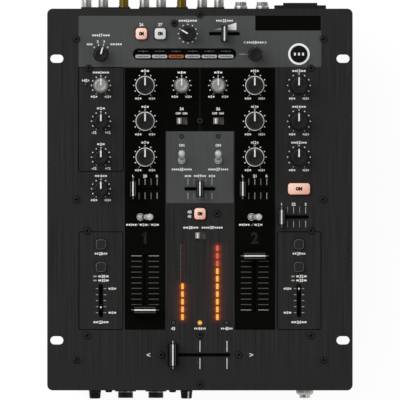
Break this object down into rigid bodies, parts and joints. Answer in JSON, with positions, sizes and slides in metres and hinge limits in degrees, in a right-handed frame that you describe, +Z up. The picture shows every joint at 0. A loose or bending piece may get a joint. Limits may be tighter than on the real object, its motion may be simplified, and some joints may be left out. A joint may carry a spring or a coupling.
{
  "type": "dj mixer",
  "caption": "Tabletop DJ mixer: black brushed faceplate with rack slots on a folded steel case, with knobs, faders, buttons, toggles and rear sockets.",
  "frame": {"origin": "on the table, below the middle of the faceplate", "axes": "+X to the player's right, +Y to the rear sockets, +Z up"},
  "size_m": [0.254, 0.3334, 0.1082],
  "materials": {
    "brushed_plate": "brushed, black anodised",
    "case_steel": "fine textured black powder coat on folded steel",
    "foot_rubber": "matte",
    "screw_steel": "blackened steel",
    "board_laminate": "green solder mask",
    "supply_parts": "steel laminations and coil",
    "pot_steel": "plain",
    "switch_chrome": "polished",
    "lamp_lens": "translucent",
    "nickel_socket": "nickel plated",
    "brass_terminal": "gold plated",
    "jack_plastic": "moulded",
    "inlet_plastic": "moulded",
    "black_knob": "moulded, satin",
    "silver_knob": "moulded, silver lacquer",
    "fader_cap": "moulded, satin",
    "lit_button": "translucent, lit from below",
    "clear_button": "translucent",
    "black_button": "moulded",
    "switch_knob": "moulded"
  },
  "bodies": {
    "mixer_case": {"faceplate": "brushed_plate", "case_tub": "case_steel", "rubber_feet": "foot_rubber", "panel_screws": "screw_steel", "control_board": "board_laminate", "power_supply": "supply_parts", "potentiometers": "pot_steel", "switch_bodies": "switch_chrome", "indicator_lamps": "lamp_lens", "rca_sockets": "nickel_socket", "ground_terminals": "brass_terminal", "jack_sockets": "jack_plastic", "mains_inlet": "inlet_plastic"},
    "effect_assign_knob": {"effect_assign_knob": "black_knob"},
    "mic_gain_knob": {"mic_gain_knob": "silver_knob"},
    "mic_high_knob": {"mic_high_knob": "black_knob"},
    "mic_low_knob": {"mic_low_knob": "black_knob"},
    "aux_in_knob": {"aux_in_knob": "black_knob"},
    "ch1_high_knob": {"ch1_high_knob": "black_knob"},
    "ch1_mid_knob": {"ch1_mid_knob": "black_knob"},
    "ch1_low_knob": {"ch1_low_knob": "black_knob"},
    "ch1_gain_knob": {"ch1_gain_knob": "silver_knob"},
    "ch2_gain_knob": {"ch2_gain_knob": "silver_knob"},
    "ch2_high_knob": {"ch2_high_knob": "black_knob"},
    "ch2_mid_knob": {"ch2_mid_knob": "black_knob"},
    "ch2_low_knob": {"ch2_low_knob": "black_knob"},
    "master_knob": {"master_knob": "black_knob"},
    "aux_out_knob": {"aux_out_knob": "black_knob"},
    "cue_gain_knob": {"cue_gain_knob": "black_knob"},
    "frequency_knob": {"frequency_knob": "black_knob"},
    "effect_select_knob": {"effect_select_knob": "black_knob"},
    "front_left_knob": {"front_left_knob": "black_knob"},
    "front_right_knob": {"front_right_knob": "black_knob"},
    "intensity_fader": {"intensity_fader": "fader_cap"},
    "loop_fader": {"loop_fader": "fader_cap"},
    "ch1_pan_fader": {"ch1_pan_fader": "fader_cap"},
    "ch2_pan_fader": {"ch2_pan_fader": "fader_cap"},
    "cue_pan_fader": {"cue_pan_fader": "fader_cap"},
    "ch1_level_fader": {"ch1_level_fader": "fader_cap"},
    "ch2_level_fader": {"ch2_level_fader": "fader_cap"},
    "crossfader": {"crossfader": "fader_cap"},
    "left_contour_slider": {"left_contour_slider": "fader_cap"},
    "right_contour_slider": {"right_contour_slider": "fader_cap"},
    "effect_button": {"effect_button": "lit_button"},
    "effect_cue_button": {"effect_cue_button": "clear_button"},
    "channel_button": {"channel_button": "lit_button"},
    "cue_button": {"cue_button": "lit_button"},
    "tap_button": {"tap_button": "black_button"},
    "left_reverse_button": {"left_reverse_button": "black_button"},
    "right_reverse_button": {"right_reverse_button": "black_button"},
    "left_mode_button": {"left_mode_button": "black_button"},
    "right_mode_button": {"right_mode_button": "black_button"},
    "ch1_effect_switch": {"ch1_effect_switch": "switch_knob"},
    "ch2_effect_switch": {"ch2_effect_switch": "switch_knob"},
    "stereo_switch": {"stereo_switch": "switch_knob"},
    "ch1_loop_toggle": {"ch1_loop_toggle": "switch_chrome"},
    "ch2_loop_toggle": {"ch2_loop_toggle": "switch_chrome"},
    "ch1_input_toggle": {"ch1_input_toggle": "switch_chrome"},
    "ch2_input_toggle": {"ch2_input_toggle": "switch_chrome"},
    "power_rocker": {"power_rocker": "inlet_plastic"}
  },
  "joints": [
    {"name": "effect_assign_knob_turn", "type": "hinge", "parent": "mixer_case", "child": "effect_assign_knob", "pos_m": [-0.08235, 0.1209, 0.09], "axis": [0, 0, -1], "range_deg": [-60, 30]},
    {"name": "mic_gain_knob_turn", "type": "hinge", "parent": "mixer_case", "child": "mic_gain_knob", "pos_m": [-0.08235, 0.0949, 0.09], "axis": [0, 0, -1], "range_deg": [-150, 150]},
    {"name": "mic_high_knob_turn", "type": "hinge", "parent": "mixer_case", "child": "mic_high_knob", "pos_m": [-0.08235, 0.0651, 0.09], "axis": [0, 0, -1], "range_deg": [-150, 150]},
    {"name": "mic_low_knob_turn", "type": "hinge", "parent": "mixer_case", "child": "mic_low_knob", "pos_m": [-0.08235, 0.0353, 0.09], "axis": [0, 0, -1], "range_deg": [-150, 150]},
    {"name": "aux_in_knob_turn", "type": "hinge", "parent": "mixer_case", "child": "aux_in_knob", "pos_m": [-0.08235, 0.0089, 0.09], "axis": [0, 0, -1], "range_deg": [-150, 150]},
    {"name": "ch1_high_knob_turn", "type": "hinge", "parent": "mixer_case", "child": "ch1_high_knob", "pos_m": [-0.0456, 0.0949, 0.09], "axis": [0, 0, -1], "range_deg": [-150, 150]},
    {"name": "ch1_mid_knob_turn", "type": "hinge", "parent": "mixer_case", "child": "ch1_mid_knob", "pos_m": [-0.0456, 0.0651, 0.09], "axis": [0, 0, -1], "range_deg": [-150, 150]},
    {"name": "ch1_low_knob_turn", "type": "hinge", "parent": "mixer_case", "child": "ch1_low_knob", "pos_m": [-0.0456, 0.0353, 0.09], "axis": [0, 0, -1], "range_deg": [-150, 150]},
    {"name": "ch1_gain_knob_turn", "type": "hinge", "parent": "mixer_case", "child": "ch1_gain_knob", "pos_m": [-0.0152, 0.0949, 0.09], "axis": [0, 0, -1], "range_deg": [-150, 150]},
    {"name": "ch2_gain_knob_turn", "type": "hinge", "parent": "mixer_case", "child": "ch2_gain_knob", "pos_m": [0.0152, 0.0949, 0.09], "axis": [0, 0, -1], "range_deg": [-150, 150]},
    {"name": "ch2_high_knob_turn", "type": "hinge", "parent": "mixer_case", "child": "ch2_high_knob", "pos_m": [0.0456, 0.0949, 0.09], "axis": [0, 0, -1], "range_deg": [-150, 150]},
    {"name": "ch2_mid_knob_turn", "type": "hinge", "parent": "mixer_case", "child": "ch2_mid_knob", "pos_m": [0.0456, 0.0651, 0.09], "axis": [0, 0, -1], "range_deg": [-150, 150]},
    {"name": "ch2_low_knob_turn", "type": "hinge", "parent": "mixer_case", "child": "ch2_low_knob", "pos_m": [0.0456, 0.0353, 0.09], "axis": [0, 0, -1], "range_deg": [-150, 150]},
    {"name": "master_knob_turn", "type": "hinge", "parent": "mixer_case", "child": "master_knob", "pos_m": [0.08235, 0.0949, 0.09], "axis": [0, 0, -1], "range_deg": [-150, 150]},
    {"name": "aux_out_knob_turn", "type": "hinge", "parent": "mixer_case", "child": "aux_out_knob", "pos_m": [0.08235, 0.0651, 0.09], "axis": [0, 0, -1], "range_deg": [-150, 150]},
    {"name": "cue_gain_knob_turn", "type": "hinge", "parent": "mixer_case", "child": "cue_gain_knob", "pos_m": [0.08235, 0.0353, 0.09], "axis": [0, 0, -1], "range_deg": [-150, 150]},
    {"name": "frequency_knob_turn", "type": "hinge", "parent": "mixer_case", "child": "frequency_knob", "pos_m": [-0.0101, 0.1379, 0.09], "axis": [0, 0, -1], "range_deg": [-90, 210]},
    {"name": "effect_select_knob_turn", "type": "hinge", "parent": "mixer_case", "child": "effect_select_knob", "pos_m": [0.0458, 0.1209, 0.09], "axis": [0, 0, -1], "continuous": true},
    {"name": "front_left_knob_turn", "type": "hinge", "parent": "mixer_case", "child": "front_left_knob", "pos_m": [-0.08745, -0.15825, 0.058], "axis": [0, 1, 0], "range_deg": [0, 300]},
    {"name": "front_right_knob_turn", "type": "hinge", "parent": "mixer_case", "child": "front_right_knob", "pos_m": [-0.01125, -0.15825, 0.058], "axis": [0, 1, 0], "range_deg": [-170, 130]},
    {"name": "intensity_fader_slide", "type": "slide", "parent": "mixer_case", "child": "intensity_fader", "axis": [1, 0, 0], "range_m": [-0.01, 0.01]},
    {"name": "loop_fader_slide", "type": "slide", "parent": "mixer_case", "child": "loop_fader", "axis": [1, 0, 0], "range_m": [-0.01, 0.01]},
    {"name": "ch1_pan_fader_slide", "type": "slide", "parent": "mixer_case", "child": "ch1_pan_fader", "axis": [1, 0, 0], "range_m": [0, 0.02]},
    {"name": "ch2_pan_fader_slide", "type": "slide", "parent": "mixer_case", "child": "ch2_pan_fader", "axis": [1, 0, 0], "range_m": [0, 0.02]},
    {"name": "cue_pan_fader_slide", "type": "slide", "parent": "mixer_case", "child": "cue_pan_fader", "axis": [1, 0, 0], "range_m": [0, 0.02]},
    {"name": "ch1_level_fader_slide", "type": "slide", "parent": "mixer_case", "child": "ch1_level_fader", "axis": [0, 1, 0], "range_m": [0, 0.045]},
    {"name": "ch2_level_fader_slide", "type": "slide", "parent": "mixer_case", "child": "ch2_level_fader", "axis": [0, 1, 0], "range_m": [-0.045, 0]},
    {"name": "crossfader_slide", "type": "slide", "parent": "mixer_case", "child": "crossfader", "axis": [1, 0, 0], "range_m": [0, 0.045]},
    {"name": "left_contour_slider_slide", "type": "slide", "parent": "mixer_case", "child": "left_contour_slider", "axis": [0, 1, 0], "range_m": [-0.0045, 0.0155]},
    {"name": "right_contour_slider_slide", "type": "slide", "parent": "mixer_case", "child": "right_contour_slider", "axis": [0, 1, 0], "range_m": [-0.02, 0]},
    {"name": "effect_button_slide", "type": "slide", "parent": "mixer_case", "child": "effect_button", "axis": [0, 0, -1], "range_m": [0, 0.0015], "stiffness_N_per_m": 300, "springref_m": -0.002},
    {"name": "effect_cue_button_slide", "type": "slide", "parent": "mixer_case", "child": "effect_cue_button", "axis": [0, 0, -1], "range_m": [0, 0.0015], "stiffness_N_per_m": 300, "springref_m": -0.002},
    {"name": "channel_button_slide", "type": "slide", "parent": "mixer_case", "child": "channel_button", "axis": [0, 0, -1], "range_m": [0, 0.0015], "stiffness_N_per_m": 300, "springref_m": -0.002},
    {"name": "cue_button_slide", "type": "slide", "parent": "mixer_case", "child": "cue_button", "axis": [0, 0, -1], "range_m": [0, 0.0015], "stiffness_N_per_m": 300, "springref_m": -0.002},
    {"name": "tap_button_slide", "type": "slide", "parent": "mixer_case", "child": "tap_button", "axis": [0, 0, -1], "range_m": [0, 0.0015], "stiffness_N_per_m": 300, "springref_m": -0.002},
    {"name": "left_reverse_button_slide", "type": "slide", "parent": "mixer_case", "child": "left_reverse_button", "axis": [0, 0, -1], "range_m": [0, 0.0015], "stiffness_N_per_m": 300, "springref_m": -0.002},
    {"name": "right_reverse_button_slide", "type": "slide", "parent": "mixer_case", "child": "right_reverse_button", "axis": [0, 0, -1], "range_m": [0, 0.0015], "stiffness_N_per_m": 300, "springref_m": -0.002},
    {"name": "left_mode_button_slide", "type": "slide", "parent": "mixer_case", "child": "left_mode_button", "axis": [0, 0, -1], "range_m": [0, 0.0015], "stiffness_N_per_m": 300, "springref_m": -0.002},
    {"name": "right_mode_button_slide", "type": "slide", "parent": "mixer_case", "child": "right_mode_button", "axis": [0, 0, -1], "range_m": [0, 0.0015], "stiffness_N_per_m": 300, "springref_m": -0.002},
    {"name": "ch1_effect_switch_slide", "type": "slide", "parent": "mixer_case", "child": "ch1_effect_switch", "axis": [1, 0, 0], "range_m": [0, 0.004]},
    {"name": "ch2_effect_switch_slide", "type": "slide", "parent": "mixer_case", "child": "ch2_effect_switch", "axis": [1, 0, 0], "range_m": [0, 0.004]},
    {"name": "stereo_switch_slide", "type": "slide", "parent": "mixer_case", "child": "stereo_switch", "axis": [1, 0, 0], "range_m": [0, 0.004]},
    {"name": "ch1_loop_toggle_turn", "type": "hinge", "parent": "mixer_case", "child": "ch1_loop_toggle", "pos_m": [-0.0152, 0.0326, 0.0915], "axis": [1, 0, 0], "range_deg": [0, 44]},
    {"name": "ch2_loop_toggle_turn", "type": "hinge", "parent": "mixer_case", "child": "ch2_loop_toggle", "pos_m": [0.0152, 0.0326, 0.0915], "axis": [1, 0, 0], "range_deg": [0, 44]},
    {"name": "ch1_input_toggle_turn", "type": "hinge", "parent": "mixer_case", "child": "ch1_input_toggle", "pos_m": [-0.0495, -0.0145, 0.0915], "axis": [0, -1, 0], "range_deg": [0, 64]},
    {"name": "ch2_input_toggle_turn", "type": "hinge", "parent": "mixer_case", "child": "ch2_input_toggle", "pos_m": [0.0428, -0.0145, 0.0915], "axis": [0, -1, 0], "range_deg": [0, 48]},
    {"name": "power_rocker_turn", "type": "hinge", "parent": "mixer_case", "child": "power_rocker", "pos_m": [0.043, 0.15275, 0.042], "axis": [1, 0, 0], "range_deg": [0, 16]}
  ]
}
